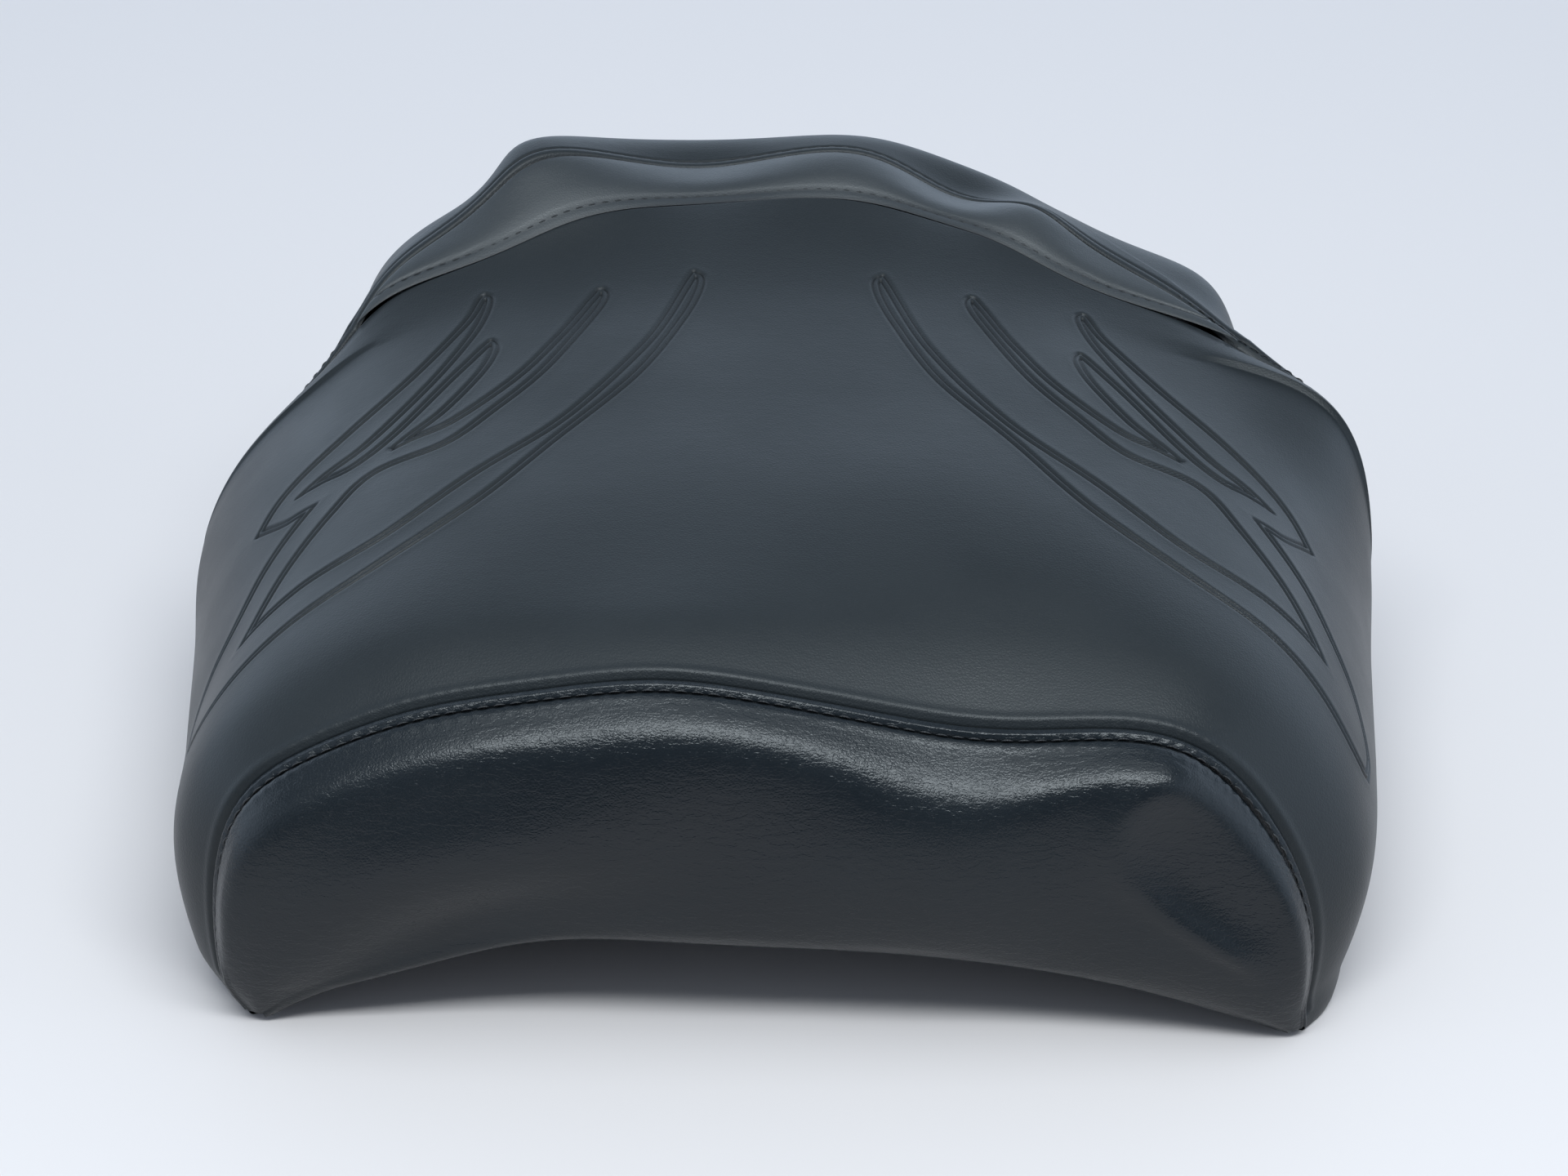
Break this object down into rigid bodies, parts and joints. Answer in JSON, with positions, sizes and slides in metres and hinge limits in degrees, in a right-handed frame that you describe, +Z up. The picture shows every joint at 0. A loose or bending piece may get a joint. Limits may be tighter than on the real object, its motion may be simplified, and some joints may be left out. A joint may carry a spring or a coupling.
{
  "type": "motorcycle passenger seat",
  "caption": "Cruiser passenger seat: arched pan, foam cushion, sewn vinyl cover with embossed flame lines, front tongue, rear tab with captive thumb screw and rubber bumpers.",
  "frame": {"origin": "on the surface the seat stands on, under the middle of its bounding box", "axes": "+Z up, +Y towards the rear of the motorcycle, +X to the right as seen from the front end, where the wide panel is"},
  "size_m": [0.401, 0.4092, 0.1611],
  "materials": {
    "matte_vinyl": "charcoal vinyl with a fine grain, satin",
    "gloss_vinyl": "charcoal vinyl, glossier, with fine stretch creases",
    "foam": "moulded polyurethane foam",
    "pan_plastic": "moulded plastic, lightly textured",
    "bracket_steel": "black powder coat",
    "zinc_steel": "bright zinc plate",
    "bumper_rubber": "moulded black rubber",
    "nylon": "natural nylon"
  },
  "bodies": {
    "seat": {"base_pan": "pan_plastic", "foam_cushion": "foam", "cover_top_panel": "matte_vinyl", "cover_front_panel": "gloss_vinyl", "cover_bolster_panel": "matte_vinyl", "cover_back_panel": "matte_vinyl", "front_seam_welt": "gloss_vinyl", "front_tongue_bracket": "bracket_steel", "rear_tab_bracket": "bracket_steel", "bolt_front_left": "zinc_steel", "lock_washer_front_left": "zinc_steel", "t_nut_front_left": "zinc_steel", "bolt_front_right": "zinc_steel", "lock_washer_front_right": "zinc_steel", "t_nut_front_right": "zinc_steel", "bolt_rear_left": "zinc_steel", "lock_washer_rear_left": "zinc_steel", "t_nut_rear_left": "zinc_steel", "bolt_rear_right": "zinc_steel", "lock_washer_rear_right": "zinc_steel", "t_nut_rear_right": "zinc_steel", "bumper_front_left": "bumper_rubber", "bumper_front_right": "bumper_rubber", "bumper_middle_left": "bumper_rubber", "bumper_middle_right": "bumper_rubber", "bumper_rear_left": "bumper_rubber", "bumper_rear_right": "bumper_rubber"},
    "captive": {"captive_washer": "nylon"},
    "screw": {"thumb_screw": "zinc_steel"}
  },
  "joints": [
    {"name": "washer_slide", "type": "slide", "parent": "seat", "child": "captive", "axis": [0, 0, 1], "range_m": [0, 0.00762]},
    {"name": "screw_turn", "type": "hinge", "parent": "captive", "child": "screw", "pos_m": [0, 0.1926, 0.027], "axis": [0, 0, 1], "range_deg": [0, 2160]}
  ],
  "couplings": [
    {"joint": "screw_turn", "follows": "washer_slide", "rad_per_m": 4947.4}
  ]
}
